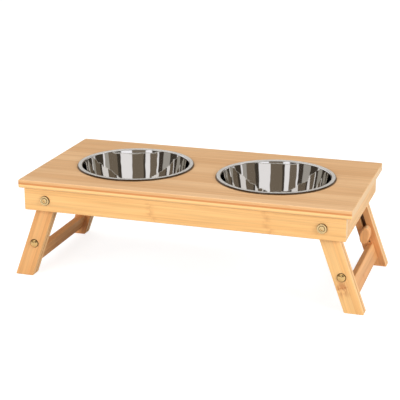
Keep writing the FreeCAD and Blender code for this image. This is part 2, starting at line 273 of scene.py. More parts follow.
def bamboo_grain_group():
    """Long face of laminated bamboo: strips, fibres, glue lines and the rings of the cane.
    Vector runs along the grain in X and across the strips in Y, in metres."""
    group, taken, given = new_group(
        "bamboo_grain",
        [("Vector", "Vector", None), ("Strip", "Float", 0.02), ("Seed", "Float", 0.0),
         ("Light", "Color", (0.8, 0.6, 0.3, 1)), ("Deep", "Color", (0.6, 0.4, 0.2, 1)),
         ("Ring Colour", "Color", (0.4, 0.2, 0.08, 1)), ("Ring Spacing", "Float", 0.23),
         ("Ring Place", "Float", 0.0), ("Ring Amount", "Float", 0.5), ("Ring Scatter", "Float", 1.0),
         ("Ring Width", "Float", 0.008)],
        [("Color", "Color"), ("Roughness", "Float"), ("Height", "Float")])
    axes = split(group, taken["Vector"])
    along, across = axes[0], axes[1]

    place = calc(group, "ADD", calc(group, "DIVIDE", across, taken["Strip"]), taken["Seed"])
    strip = calc(group, "FLOOR", place)
    inside = calc(group, "FRACT", place)
    tone = scatter(group, strip)
    start = scatter(group, calc(group, "ADD", strip, 37.7))

    shifted = add_node(group, "ShaderNodeCombineXYZ", {0: times(group, strip, 3.1)}).outputs[0]
    vector = add_node(group, "ShaderNodeVectorMath", {0: taken["Vector"], 1: shifted}).outputs[0]
    fibre = speckle(group, stretch(group, vector, 25, 1500, 1500), 1.0, 3.0, 0.6)
    streak = speckle(group, stretch(group, vector, 5, 160, 160), 1.0, 2.0)
    drift = speckle(group, stretch(group, vector, 3, 14, 14), 1.0, 1.0)

    edge = times(group, calc(group, "PINGPONG", inside, 0.5), taken["Strip"])
    glue = invert(group, ease(group, edge, 0.0, 0.6 * MM))

    wander = times(group, calc(group, "SUBTRACT", streak, 0.5), 6 * MM)
    ring_shift = times(group, start, taken["Ring Scatter"])
    ring_from = calc(group, "ADD", calc(group, "SUBTRACT", along, taken["Ring Place"]), wander)
    ring_turn = calc(group, "ADD", calc(group, "DIVIDE", ring_from, taken["Ring Spacing"]), ring_shift)
    ring_turn = calc(group, "FRACT", calc(group, "ADD", ring_turn, 0.5))
    ring_gap = times(group, apart(group, ring_turn, 0.5), taken["Ring Spacing"])
    ring_line = invert(group, ease(group, ring_gap, 0.3 * MM, 1.6 * MM))
    ring_cloud = invert(group, ease(group, ring_gap, 1 * MM, taken["Ring Width"]))
    blotch = speckle(group, stretch(group, vector, 90, 260, 260), 1.0, 3.0, 0.6)
    ring_cloud = times(group, ring_cloud, ease(group, blotch, 0.36, 0.6))
    ring = calc(group, "MULTIPLY_ADD", ring_cloud, 0.7, times(group, ring_line, 0.22))
    ring = times(group, ring, taken["Ring Amount"])

    depth = calc(group, "MULTIPLY_ADD", tone, 0.4, times(group, streak, 0.6))
    depth = calc(group, "MULTIPLY_ADD", drift, 0.5, calc(group, "SUBTRACT", depth, 0.25))
    depth = ease(group, depth, 0.05, 0.95)
    colour = blend(group, depth, taken["Light"], taken["Deep"])
    lines = speckle(group, stretch(group, vector, 9, 420, 420), 1.0, 2.0)
    fine = calc(group, "MULTIPLY_ADD", lines, 0.7, times(group, fibre, 0.3))
    contrast = {"Value": fine, "From Min": 0.32, "From Max": 0.68, "To Min": 0.84, "To Max": 1.08}
    fine = add_node(group, "ShaderNodeMapRange", contrast).outputs["Result"]
    fine = add_node(group, "ShaderNodeCombineColor", {0: fine, 1: fine, 2: fine}).outputs[0]
    colour = blend(group, 1.0, colour, fine, "MULTIPLY")
    colour = blend(group, times(group, glue, 0.22), colour, taken["Ring Colour"])
    colour = blend(group, ring, colour, taken["Ring Colour"])
    group.links.new(colour, given["Color"])

    rough = calc(group, "MULTIPLY_ADD", fibre, 0.16, calc(group, "MULTIPLY_ADD", ring, 0.1, 0.34))
    group.links.new(rough, given["Roughness"])
    height = calc(group, "SUBTRACT", calc(group, "MULTIPLY_ADD", ring_line, 0.5, fibre), glue)
    group.links.new(height, given["Height"])
    return group


def bamboo_end_group():
    """Sawn end of bamboo: small dark fibre bundles in a pale ground."""
    group, taken, given = new_group(
        "bamboo_end",
        [("Vector", "Vector", None), ("Light", "Color", (0.8, 0.6, 0.3, 1)),
         ("Deep", "Color", (0.6, 0.4, 0.2, 1))],
        [("Color", "Color")])
    flat = stretch(group, taken["Vector"], 0.0, 1.0, 1.0)
    cells = add_node(group, "ShaderNodeTexVoronoi", {"Vector": flat, "Scale": 1100.0, "Randomness": 0.8})
    bundle = invert(group, ease(group, cells.outputs["Distance"], 0.15, 0.42))
    ground = speckle(group, flat, 160.0)
    amount = times(group, bundle, calc(group, "MULTIPLY_ADD", ground, 0.5, 0.25))
    group.links.new(blend(group, amount, taken["Light"], taken["Deep"]), given["Color"])
    return group


def handling_group():
    """Handling marks on polished metal: smudges as a roughness value, and the heights of
    fine scratches and slow waves."""
    group, taken, given = new_group(
        "handling", [("Vector", "Vector", None), ("Low", "Float", 0.03), ("High", "Float", 0.12)],
        [("Roughness", "Float"), ("Scratch", "Float"), ("Wave", "Float")])
    smudge = speckle(group, taken["Vector"], 35.0, 3.0, 0.6)
    spread = calc(group, "SUBTRACT", taken["High"], taken["Low"])
    rough = calc(group, "MULTIPLY_ADD", ease(group, smudge, 0.4, 0.75), spread, taken["Low"])
    scratch = speckle(group, stretch(group, taken["Vector"], 300, 300, 4000), 1.0, 2.0)
    group.links.new(rough, given["Roughness"])
    group.links.new(scratch, given["Scratch"])
    group.links.new(speckle(group, taken["Vector"], 48.0, 1.0), given["Wave"])
    return group


GRAIN = bamboo_grain_group()
END_GRAIN = bamboo_end_group()
HANDLING = handling_group()


def new_material(name):
    material = bpy.data.materials.new(name)
    material.use_nodes = True
    tree = material.node_tree
    shader = tree.nodes["Principled BSDF"]
    return material, tree, shader


def turn_to_grain(along, across):
    """Rotation that lays the grain along X and the strips across Y."""
    rows = (along, across, along.cross(across))
    return Matrix(rows).to_euler("XYZ")


def bamboo(name, along, across, seed, light, deep, strip, ring_place=0.0, ring_amount=0.35,
           ring_scatter=1.0, ring_spacing=230 * MM, ring_width=8 * MM, ring_patch=None, ring_after=None,
           plies=None, seam=None, slot=None):
    """Clear-coated bamboo with its grain turned to the piece. Rings of the cane may keep to a
    patch across the grain, as (middle, half width), or begin only after a place along it."""
    material, tree, shader = new_material(name)
    turn = turn_to_grain(along, across)
    spots = add_node(tree, "ShaderNodeTexCoord").outputs
    vector = add_node(tree, "ShaderNodeMapping", {"Vector": spots["Object"], "Rotation": turn}).outputs[0]
    facing = add_node(tree, "ShaderNodeMapping", {"Vector": spots["Normal"], "Rotation": turn},
                      vector_type="VECTOR").outputs[0]
    towards = split(tree, facing)
    sawn = ease(tree, calc(tree, "ABSOLUTE", towards[0]), 0.75, 0.95)
    edge = invert(tree, ease(tree, calc(tree, "ABSOLUTE", towards[2]), 0.3, 0.8))

    if ring_patch is not None:
        middle, half = ring_patch
        beside = ease(tree, apart(tree, split(tree, vector)[1], middle), 0.5 * half, half)
        ring_amount = calc(tree, "MULTIPLY_ADD", beside, -ring_amount, ring_amount)
    if ring_after is not None:
        beyond = ease(tree, split(tree, vector)[0], ring_after - 10 * MM, ring_after)
        ring_amount = times(tree, beyond, ring_amount)
    grain_inputs = {"Vector": vector, "Strip": strip, "Seed": seed, "Light": light, "Deep": deep,
                    "Ring Colour": RING_BROWN, "Ring Spacing": ring_spacing, "Ring Place": ring_place,
                    "Ring Amount": ring_amount, "Ring Scatter": ring_scatter, "Ring Width": ring_width}
    grain = add_group(tree, GRAIN, grain_inputs)
    end = add_group(tree, END_GRAIN, {"Vector": vector, "Light": END_LIGHT, "Deep": END_DEEP})

    colour = grain["Color"]
    # Painted light and shade: paler side faces and shade along a leg's seam, shade in a leg's slot, shade
    # around the bowls' rims on the board, and pale lower plies that are partly painted light
    if plies is not None:
        colour = ply_bands(tree, spots["Object"], edge, colour, plies)
        colour = rim_shade(tree, spots["Object"], colour)
    if seam is not None:
        colour = seam_shade(tree, spots["Object"], edge, colour, seam)
    if slot is not None:
        colour = slot_shade(tree, vector, spots["Normal"], colour, slot)
    tree.links.new(blend(tree, sawn, colour, end["Color"]), shader.inputs["Base Color"])
    tree.links.new(grain["Roughness"], shader.inputs["Roughness"])
    shader.inputs["Coat Weight"].default_value = 0.12
    shader.inputs["Coat Roughness"].default_value = 0.3
    shader.inputs["Specular IOR Level"].default_value = 0.4
    relief = {"Height": grain["Height"], "Strength": 0.25, "Distance": 0.15 * MM}
    tree.links.new(add_node(tree, "ShaderNodeBump", relief).outputs[0], shader.inputs["Normal"])
    return material


def ply_bands(tree, spot, edge, colour, plies):
    """Edge of a three-ply board, from its lowest to its highest level: a deeper middle ply, pale wood below
    it that is painted paler still as painted light, and a dark glue line above the lowest ply."""
    low, high = plies
    share = calc(tree, "DIVIDE", calc(tree, "SUBTRACT", split(tree, spot)[2], low), high - low)
    above_middle = ease(tree, share, 0.64, 0.68)
    from_middle = ease(tree, share, 0.42, 0.46)
    middle = calc(tree, "SUBTRACT", from_middle, above_middle)
    glue = calc(tree, "SUBTRACT", ease(tree, share, 0.12, 0.15), ease(tree, share, 0.17, 0.2))
    deep = calc(tree, "MULTIPLY_ADD", glue, 0.5, times(tree, middle, 0.75))
    colour = blend(tree, times(tree, edge, 0.6), colour, PLY_LIGHT)
    lower = times(tree, invert(tree, from_middle), edge)
    colour = blend(tree, times(tree, lower, 0.75), colour, PLY_PALE_WITH_PAINTED_LIGHT)
    return blend(tree, times(tree, deep, edge), colour, PLY_DEEP)


def seam_shade(tree, spot, edge, colour, seam):
    """Painted light and shade on a leg: side faces painted paler, partly pale edge wood and partly the light
    they catch, and painted shade along the seam where its two layers meet.
    """
    colour = blend(tree, times(tree, edge, 0.65), colour, LEG_EDGE_PAINTED_LIGHT)
    depth = calc(tree, "ABSOLUTE", split(tree, spot)[1])
    shade_of_seam = invert(tree, ease(tree, apart(tree, depth, seam), 0.6 * MM, 1.4 * MM))
    return blend(tree, times(tree, times(tree, shade_of_seam, edge), 0.9), colour, SEAM_SHADE_BROWN)


def slot_shade(tree, vector, normal, colour, slot):
    """Painted shade: a dark stripe on the inward face of an outer leg, where the slot of its other layer
    runs and lies in shade.
    """
    middle, start, inward = slot
    axes = split(tree, vector)
    beside = apart(tree, axes[1], middle)
    stripe = invert(tree, ease(tree, beside, SLOT_HALF - 0.2 * MM, SLOT_HALF + 0.4 * MM))
    below = ease(tree, axes[0], start - 4 * MM, start - 3 * MM)
    facing = ease(tree, times(tree, split(tree, normal)[1], inward), 0.8, 0.95)
    amount = times(tree, times(tree, stripe, below), facing)
    return blend(tree, times(tree, amount, 0.85), colour, SLOT_SHADE_BROWN)


def rim_shade(tree, spot, colour):
    """Painted shade: a dark line on the board close around the rims of the bowls, where their contact shadow
    falls.
    """
    radius, rim = bowl_radius(tree, spot)
    shade_of_rim = invert(tree, ease(tree, radius, rim + 0.3 * MM, rim + 1.6 * MM))
    return blend(tree, times(tree, shade_of_rim, 0.85), colour, RIM_SHADE_BROWN)


def bowl_radius(tree, spot):
    """Distance from the middle of the nearer bowl, and the radius of its rim."""
    low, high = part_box("right_bowl")
    axes = split(tree, spot)
    middle = (low + high) / 2
    radius = distance_from(tree, calc(tree, "ABSOLUTE", axes[0]), axes[1], middle.x, middle.y)
    return radius, (high.x - low.x) / 2


def polished(name, colour, low, high, scratches=0.0, waves=0.0, brushed_above=None):
    """Bright metal with faint handling marks, fine scratches or slow waves (their heights
    in metres), and brushed instead of mirror bright above a level if given."""
    material, tree, shader = new_material(name)
    spots = add_node(tree, "ShaderNodeTexCoord").outputs
    marks = add_group(tree, HANDLING, {"Vector": spots["Object"], "Low": low, "High": high})
    shader.inputs["Base Color"].default_value = colour
    shader.inputs["Metallic"].default_value = 1.0
    rough = marks["Roughness"]
    if brushed_above is not None:
        level = split(tree, spots["Object"])[2]
        brushed = ease(tree, level, brushed_above, brushed_above + 0.15 * MM)
        rough = calc(tree, "MULTIPLY_ADD", brushed, 0.42, rough)
        tree.links.new(calc(tree, "MULTIPLY_ADD", brushed, -0.38, 1.0), shader.inputs["Metallic"])
    tree.links.new(rough, shader.inputs["Roughness"])
    for label, height in (("Scratch", scratches), ("Wave", waves)):
        if height:
            lift = add_node(tree, "ShaderNodeBump", {"Height": marks[label], "Distance": height})
            tree.links.new(lift.outputs[0], shader.inputs["Normal"])
    return material


def bolt_plating_and_shade(name, gold, shine, place, rings):
    """Yellow plating, with painted shade and dark reflection in rings about the bolts' lines; rings are
    (from, to) radii.
    """
    material = polished(name, gold, 0.22, 0.36, 0.0025 * MM)
    tree = material.node_tree
    axes = split(tree, add_node(tree, "ShaderNodeTexCoord").outputs["Object"])
    radius = distance_from(tree, calc(tree, "ABSOLUTE", axes[0]), axes[2], place.x, place.z)
    dark = 0.0
    for start, end in rings:
        from_start = ease(tree, radius, start - 0.2 * MM, start + 0.2 * MM)
        past_end = ease(tree, radius, end - 0.2 * MM, end + 0.2 * MM)
        dark = calc(tree, "MAXIMUM", dark, calc(tree, "SUBTRACT", from_start, past_end))
    shader = tree.nodes["Principled BSDF"]
    shader.inputs["Metallic"].default_value = shine
    tree.links.new(blend(tree, dark, gold, BOLT_PAINTED_SHADE), shader.inputs["Base Color"])
    return material


def mirror_steel(name):
    """Steel of the bowls: mirror bright, with a brushed rim and a painted dark reflection on its rolled
    edge.
    """
    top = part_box("right_bowl")[1].z
    material = polished(name, STEEL, 0.02, 0.05, waves=0.17 * MM, brushed_above=top - 0.45 * MM)
    tree = material.node_tree
    radius, rim = bowl_radius(tree, add_node(tree, "ShaderNodeTexCoord").outputs["Object"])
    rolled = ease(tree, radius, rim - 1.2 * MM, rim - 0.5 * MM)
    shader = tree.nodes["Principled BSDF"]
    tree.links.new(blend(tree, rolled, STEEL, ROLLED_EDGE_DARK_REFLECTION), shader.inputs["Base Color"])
    return material


STAINLESS = mirror_steel("mirror_stainless")
ZINC = polished("zinc_plating", ZINC_GREY, 0.25, 0.4, 0.005 * MM)
BRASS = polished("insert_brass", BRASS_YELLOW, 0.2, 0.35, 0.005 * MM)


def dress(name, material):
    for place in NODES[name].material_slots:
        place.material = material


def dress_small_parts():
    """Washers, nuts, screws, pins, inserts and dowels keep their CAD shapes."""
    for side in SIDES:
        for name in ("_crossbar_screws", "_clamp_washers", "_guide_pins"):
            dress(side + name, ZINC)
        for end in ENDS:
            dress(side + "_knob_insert_" + end, BRASS)
    for name in ("corner_dowels", "board_dowels"):
        wood = bamboo("dowel_" + name, DEEP, UP, seed=1.0, light=END_LIGHT, deep=END_DEEP, strip=DOWEL_STRIP)
        dress(name, wood)
    dress("pivot_washers", ZINC)
    dress("pivot_nuts", ZINC)


# Modelling by hand: small tools

def clear_selection():
    if bpy.context.object and bpy.context.object.mode != "OBJECT":
        bpy.ops.object.mode_set(mode="OBJECT")
    bpy.ops.object.select_all(action="DESELECT")


def named(name):
    piece = bpy.context.object
    piece.name = name
    piece.data.name = name
    return piece


def make_active(piece):
    clear_selection()
    piece.select_set(True)
    bpy.context.view_layer.objects.active = piece


def set_in_place(piece):
    make_active(piece)
    bpy.ops.object.transform_apply(location=True, rotation=True, scale=True)


def pick(piece, wanted):
    """Edit mode with only the vertices selected whose place passes the test."""
    make_active(piece)
    bpy.ops.object.mode_set(mode="EDIT")
    bpy.ops.mesh.select_mode(type="VERT")
    bpy.ops.mesh.select_all(action="DESELECT")
    bpy.ops.object.mode_set(mode="OBJECT")
    for vertex in piece.data.vertices:
        vertex.select = wanted(vertex.co)
    bpy.ops.object.mode_set(mode="EDIT")


def pick_all(piece):
    make_active(piece)
    bpy.ops.object.mode_set(mode="EDIT")
    bpy.ops.mesh.select_all(action="SELECT")


def done_editing():
    bpy.ops.object.mode_set(mode="OBJECT")


def close_up(piece):
    """Merge doubled vertices and turn every face outwards."""
    pick_all(piece)
    bpy.ops.mesh.remove_doubles(threshold=0.002 * MM)
    bpy.ops.mesh.select_all(action="SELECT")
    bpy.ops.mesh.normals_make_consistent(inside=False)
    done_editing()


def apply_modifier(piece, kind, **settings):
    make_active(piece)
    modifier = piece.modifiers.new(kind.lower(), kind)
    for key, value in settings.items():
        setattr(modifier, key, value)
    bpy.ops.object.modifier_apply(modifier=modifier.name)


def soften(piece, width):
    apply_modifier(piece, "BEVEL", width=width, segments=3, limit_method="ANGLE",
                   angle_limit=math.radians(40))


def cut_away(piece, *tools):
    for tool in tools:
        apply_modifier(piece, "BOOLEAN", operation="DIFFERENCE", object=tool, solver="EXACT")
        bpy.data.objects.remove(tool)


def block(name, low, high):
    low, high = Vector(low), Vector(high)
    clear_selection()
    bpy.ops.mesh.primitive_cube_add(size=1.0, location=(low + high) / 2)
    piece = named(name)
    piece.scale = high - low
    set_in_place(piece)
    return piece


def rod(name, radius, low, high, place, axis, sides):
    """Cylinder between two levels along Y or Z, about a place."""
    clear_selection()
    turn = (math.pi / 2, 0, 0) if axis == "Y" else (0, 0, 0)
    middle = Vector(place)
    middle["XYZ".index(axis)] = (low + high) / 2
    bpy.ops.mesh.primitive_cylinder_add(vertices=sides, radius=radius, depth=high - low,
                                        location=middle, rotation=turn)
    piece = named(name)
    set_in_place(piece)
    return piece


def twin(piece, name, axis):
    """Copy with its own mesh on the other side of the stand."""
    make_active(piece)
    bpy.ops.object.duplicate()
    other = named(name)
    other.scale["XYZ".index(axis)] = -1
    set_in_place(other)
    pick_all(other)
    bpy.ops.mesh.normals_make_consistent(inside=False)
    done_editing()
    return other


def join(name, pieces):
    clear_selection()
    for piece in pieces:
        piece.select_set(True)
    bpy.context.view_layer.objects.active = pieces[0]
    bpy.ops.object.join()
    return named(name)


def spun(name, outline, steps):
    """Half outline of (radius, height) points drawn vertex by vertex, then spun about Z."""
    clear_selection()
    bpy.ops.mesh.primitive_plane_add(size=1 * MM)
    piece = named(name)
    bpy.ops.object.mode_set(mode="EDIT")
    bpy.ops.mesh.merge(type="CENTER")
    last = Vector((outline[0][0], 0, outline[0][1]))
    bpy.ops.transform.translate(value=last)
    for radius, height in outline[1:]:
        here = Vector((radius, 0, height))
        bpy.ops.mesh.extrude_vertices_move(TRANSFORM_OT_translate={"value": here - last})
        last = here
    bpy.ops.mesh.select_all(action="SELECT")
    bpy.ops.mesh.spin(steps=steps, angle=2 * math.pi, center=(0, 0, 0), axis=(0, 0, 1))
    done_editing()
    close_up(piece)
    return piece


def arc(middle_x, middle_z, radius, start, end, steps):
    """Points of an arc, angles in degrees."""
    turns = [math.radians(start + (end - start) * step / steps) for step in range(steps + 1)]
    return [(middle_x + radius * math.cos(turn), middle_z + radius * math.sin(turn)) for turn in turns]


def shade(piece):
    make_active(piece)
    bpy.ops.object.shade_smooth_by_angle(angle=math.radians(35))
    apply_modifier(piece, "WEIGHTED_NORMAL", keep_sharp=True, weight=100)


def finish_piece(piece, material, node, body):
    """Shade and paint a piece, and set it in the stand in the CAD node's place."""
    shade(piece)
    piece.data.materials.clear()
    piece.data.materials.append(material)
    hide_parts(node)
    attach(piece, body)


def lean_out(piece):
    """From upright about the pivot at the origin to the right legs' splay."""
    piece.rotation_euler = (0, -SPLAY, 0)
    piece.location = (PIVOT.x, 0, PIVOT.z)
    set_in_place(piece)


def middle_of(node):
    low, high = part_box(node)
    return (low + high) / 2


# Board and apron frame

def on_hole_edge(spot, centre, level):
    from_middle = (spot.xy - centre.xy).length
    return abs(from_middle - BOARD_HOLE) < 0.1 * MM and abs(spot.z - level) < NEAR


def make_board():
    low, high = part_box("top_board")
    board = block("top_board_wood", low, high)
    soften(board, 2 * MM)
    for side in SIDES:
        centre = middle_of(side + "_bowl")
        cut_away(board, rod("hole_tool", BOARD_HOLE, low.z - PAST, high.z + PAST, centre, "Z", 160))
        for level in (low.z, high.z):
            pick(board, lambda spot: on_hole_edge(spot, centre, level))
            bpy.ops.mesh.bevel(offset=0.8 * MM, segments=3, affect="EDGES")
            done_editing()
    material = bamboo("bamboo_board", LONG, DEEP, seed=4.3, light=SHEENED_TOP_LIGHT, deep=SHEENED_TOP_DEEP,
                      strip=BOARD_STRIP, ring_amount=0.06, plies=(low.z, high.z))
    finish_piece(board, material, "top_board", "top")


def make_aprons():
    low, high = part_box("rear_apron")
    rear = block("rear_apron_wood", low, high)
    soften(rear, 1 * MM)
    for side in SIDES:
        place = (SIDE_SIGN[side] * PIVOT.x, 0, PIVOT.z)
        cut_away(rear, rod("bore_tool", BORE, low.y - PAST, high.y + PAST, place, "Y", 32))
    front = twin(rear, "front_apron_wood", "Y")
    rings = {"ring_amount": 0.34, "ring_place": -34 * MM, "ring_spacing": 163 * MM,
             "ring_scatter": 0.1, "ring_after": -130 * MM}
    for seed, end, apron in ((11.2, "rear", rear), (2.2, "front", front)):
        material = bamboo("bamboo_apron_" + end, LONG, UP, seed, APRON_LIGHT, APRON_DEEP,
                          APRON_STRIP, **rings)
        finish_piece(apron, material, end + "_apron", "top")


def make_rails():
    low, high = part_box("right_end_rail")
    right = block("right_end_rail_wood", low, high)
    soften(right, 1 * MM)
    left = twin(right, "left_end_rail_wood", "X")
    for seed, side, rail in ((5.4, "right", right), (12.6, "left", left)):
        material = bamboo("bamboo_rail_" + side, DEEP, UP, seed, APRON_LIGHT, APRON_DEEP,
                          APRON_STRIP, ring_amount=0.25)
        finish_piece(rail, material, side + "_end_rail", "top")


# Leg frames

def outer_leg_blank():
    low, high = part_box("right_outer_leg_rear")
    clear_selection()
    bpy.ops.mesh.primitive_circle_add(vertices=64, radius=LEG_HALF, fill_type="NGON",
                                      location=(0, low.y, 0), rotation=(math.pi / 2, 0, 0))
    leg = named("right_outer_leg_rear_wood")
    set_in_place(leg)
    pick_all(leg)
    bpy.ops.mesh.bisect(plane_co=(0, low.y, 0), plane_no=(0, 0, 1), clear_inner=True)
    done_editing()
    pick(leg, lambda spot: spot.z < NEAR)
    bpy.ops.mesh.extrude_region_move(TRANSFORM_OT_translate={"value": (0, 0, -LEG_REACH - LEG_SPARE)})
    done_editing()
    lean_out(leg)
    pick_all(leg)
    bpy.ops.mesh.bisect(plane_co=(0, 0, 0), plane_no=(0, 0, 1), clear_inner=True)
    bpy.ops.mesh.select_all(action="SELECT")
    bpy.ops.mesh.dissolve_limited(angle_limit=math.radians(1))
    bpy.ops.mesh.select_all(action="SELECT")
    bpy.ops.mesh.extrude_region_move(TRANSFORM_OT_translate={"value": (0, high.y - low.y, 0)})
    done_editing()
    close_up(leg)
    soften(leg, 0.8 * MM)
    for place in (PIVOT, CLAMP):
        cut_away(leg, rod("bore_tool", BORE, low.y - PAST, high.y + PAST, place, "Y", 32))
    return leg


def long_hole(half, start, end, y_low, y_high):
    """Tool for a straight slot with round ends down the middle of the leg."""
    tool = rod("slot_tool", half, y_low, y_high, (0, 0, -start), "Y", 32)
    pick(tool, lambda spot: spot.z < -start + 0.001 * MM)
    bpy.ops.transform.translate(value=(0, 0, start - end))
    done_editing()
    lean_out(tool)
    return tool


def inner_leg_blank():
    low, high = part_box("right_inner_leg_rear")
    leg = block("right_inner_leg_rear_wood",
                (-LEG_HALF, low.y, -LEG_REACH - LEG_SPARE), (LEG_HALF, high.y, -INNER_TOP))
    for edge in (-LEG_HALF, LEG_HALF):
        pick(leg, lambda spot: spot.z > -INNER_TOP - NEAR and abs(spot.x - edge) < NEAR)
        bpy.ops.mesh.bevel(offset=5 * MM, segments=6, affect="EDGES")
        done_editing()
    lean_out(leg)
    pick_all(leg)
    bpy.ops.mesh.bisect(plane_co=(0, 0, 0), plane_no=(0, 0, 1), clear_inner=True, use_fill=True)
    done_editing()
    soften(leg, 0.8 * MM)
    slot = long_hole(SLOT_HALF, SLOT_HIGH, CLAMP_ALONG, low.y - PAST, high.y + PAST)
    groove = long_hole(SLOT_HALF, CLAMP_ALONG - 2 * MM, GUIDE_ALONG, high.y - GROOVE_DEPTH, high.y + PAST)
    drift_hole = rod("drift_tool", DRIFT_RADIUS, low.y - PAST, high.y, (0, 0, -GUIDE_ALONG), "Y", 24)
    lean_out(drift_hole)
    cut_away(leg, slot, groove, drift_hole)
    return leg


def crossbar_blank():
    low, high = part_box("right_crossbar")
    along = (middle_of("right_crossbar") - PIVOT).dot(DOWN)
    bar = block("right_crossbar_wood",
                (-BAR_HALF_THICKNESS, low.y, -along - BAR_HALF_WIDTH),
                (BAR_HALF_THICKNESS, high.y, -along + BAR_HALF_WIDTH))
    soften(bar, 1.5 * MM)
    lean_out(bar)
    return bar


def make_legs():
    blanks = {"outer_leg": outer_leg_blank(), "inner_leg": inner_leg_blank()}
    bodies = {"outer_leg": "_leg", "inner_leg": "_slide"}
    for kind, right_rear in blanks.items():
        right_front = twin(right_rear, "right_" + kind + "_front_wood", "Y")
        left_rear = twin(right_rear, "left_" + kind + "_rear_wood", "X")
        left_front = twin(right_front, "left_" + kind + "_front_wood", "X")
        copies = {"right_rear": right_rear, "right_front": right_front,
                  "left_rear": left_rear, "left_front": left_front}
        for number, (corner, leg) in enumerate(copies.items()):
            side, end = corner.split("_")
            node = side + "_" + kind + "_" + end
            material = leg_wood(node, side, 11.5 + 3.7 * number)
            finish_piece(leg, material, node, side + bodies[kind])
    right_bar = crossbar_blank()
    left_bar = twin(right_bar, "left_crossbar_wood", "X")
    for side, bar in (("right", right_bar), ("left", left_bar)):
        material = bamboo("bamboo_bar_" + side, DEEP, leg_direction(side), seed=8.2,
                          light=BAR_LIGHT, deep=BAR_DEEP, strip=BAR_STRIP)
        finish_piece(bar, material, side + "_crossbar", side + "_slide")


def leg_wood(node, side, seed):
    """Leg bamboo; the front right leg has the ring of the cane just below its clamp bolt.
    Places along and across are the right legs' own, which the left legs mirror."""
    top = PIVOT.dot(DOWN)
    middle = PIVOT.dot(leg_across("right"))
    clamp = top + CLAMP_ALONG
    if node == "right_outer_leg_front":
        marks = {"ring_place": clamp + 15 * MM, "ring_amount": 1.0, "ring_width": 20 * MM,
                 "ring_patch": (middle - 3 * MM, 10 * MM)}
    else:
        marks = {"ring_place": clamp + 40 * MM + seed * MM, "ring_amount": 0.3}
    # Outer legs get painted shade where the slot of the inner layer shows their face
    if "outer" in node:
        inward = -END_SIGN[node.split("_")[-1]]
        marks["slot"] = (middle, top + SLOT_HIGH, inward)
    # A leg's tone stands in for the light and shade on it
    light, deep = LEG_TONES_FOR_LIGHT_AND_SHADE.get(node, (SHADED_INNER_LEG_LIGHT, SHADED_INNER_LEG_DEEP))
    seam = (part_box("right_outer_leg_rear")[0].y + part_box("right_inner_leg_rear")[1].y) / 2
    return bamboo("bamboo_" + node, leg_direction(side), leg_across(side), seed, light, deep,
                  LEG_STRIP, ring_scatter=0.0, seam=seam, **marks)


# Knobs and bolts

def knob_blank(depth):
    """Oval knob on its bolt's line, with its front towards -Y."""
    clear_selection()
    bpy.ops.mesh.primitive_cylinder_add(vertices=96, radius=0.5, depth=1.0, rotation=(math.pi / 2, 0, 0))
    knob = named("right_knob_rear_wood")
    set_in_place(knob)
    knob.scale = (KNOB_WIDTH, depth, KNOB_HEIGHT)
    set_in_place(knob)
    pick(knob, lambda spot: spot.y < 0)
    bpy.ops.mesh.bevel(offset=1.8 * MM, segments=5, affect="EDGES")
    done_editing()
    pick(knob, lambda spot: abs(spot.y - depth / 2) < NEAR)
    bpy.ops.mesh.bevel(offset=0.5 * MM, segments=2, affect="EDGES")
    done_editing()
    return knob


def turn_knob(knob, lean, y):
    knob.rotation_euler = (0, math.radians(lean), 0)
    knob.location = (CLAMP.x, y, CLAMP.z)
    set_in_place(knob)


def make_knobs():
    low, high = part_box("right_knob_rear")
    rear = knob_blank(high.y - low.y)
    front = twin(rear, "right_knob_front_wood", "Y")
    turn_knob(rear, REAR_KNOB_LEAN, (low.y + high.y) / 2)
    turn_knob(front, FRONT_KNOB_LEAN, -(low.y + high.y) / 2)
    knobs = {"right_knob_rear": rear, "right_knob_front": front,
             "left_knob_rear": twin(rear, "left_knob_rear_wood", "X"),
             "left_knob_front": twin(front, "left_knob_front_wood", "X")}
    for number, (node, knob) in enumerate(knobs.items()):
        material = bamboo("bamboo_" + node, UP, LONG, 3.3 + 5 * number, KNOB_LIGHT, KNOB_DEEP,
                          KNOB_STRIP, ring_amount=0.1)
        finish_piece(knob, material, node, node)


def stand_on_y(piece, x, seat_y, z):
    """From an upright turned piece to one that points to the rear."""
    piece.rotation_euler = (-math.pi / 2, 0, 0)
    piece.location = (x, seat_y, z)
    set_in_place(piece)


def bolt_end(end):
    """Outline of the chamfered end of a bolt, whose head sits at height 0."""
    return [(0, end), (BOLT_RADIUS - BOLT_POINT, end), (BOLT_RADIUS, end + BOLT_POINT)]


def make_clamp_bolts():
    """Dome-headed bolts that end inside the knobs' inserts."""
    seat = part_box("right_outer_leg_rear")[1].y
    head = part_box("right_clamp_bolts")[1].y - seat
    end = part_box("right_knob_insert_rear")[0].y + 0.5 * MM - seat
    rise = head - DOME_EDGE
    ball = (DOME_RADIUS ** 2 + rise ** 2) / (2 * rise)
    edge = math.degrees(math.acos(DOME_RADIUS / ball))
    outline = bolt_end(end) + [(BOLT_RADIUS, -HEAD_EDGE), (BOLT_RADIUS, 0),
                               (DOME_RADIUS - HEAD_EDGE, 0), (DOME_RADIUS, HEAD_EDGE)]
    outline += arc(0, head - ball, ball, edge, 90, 14)[:-1] + [(0, head)]
    bolt = spun("clamp_bolt_metal", outline, 64)
    stand_on_y(bolt, CLAMP.x, seat, CLAMP.z)
    right = join("right_clamp_bolts_metal", [bolt, twin(bolt, "clamp_bolt_twin", "Y")])
    left = twin(right, "left_clamp_bolts_metal", "X")
    plating = bolt_plating_and_shade("clamp_bolt_plating", DOME_GOLD, 0.92, CLAMP, DOME_SHADE_RINGS)
    for side, bolts in (("right", right), ("left", left)):
        finish_piece(bolts, plating, side + "_clamp_bolts", side + "_leg")


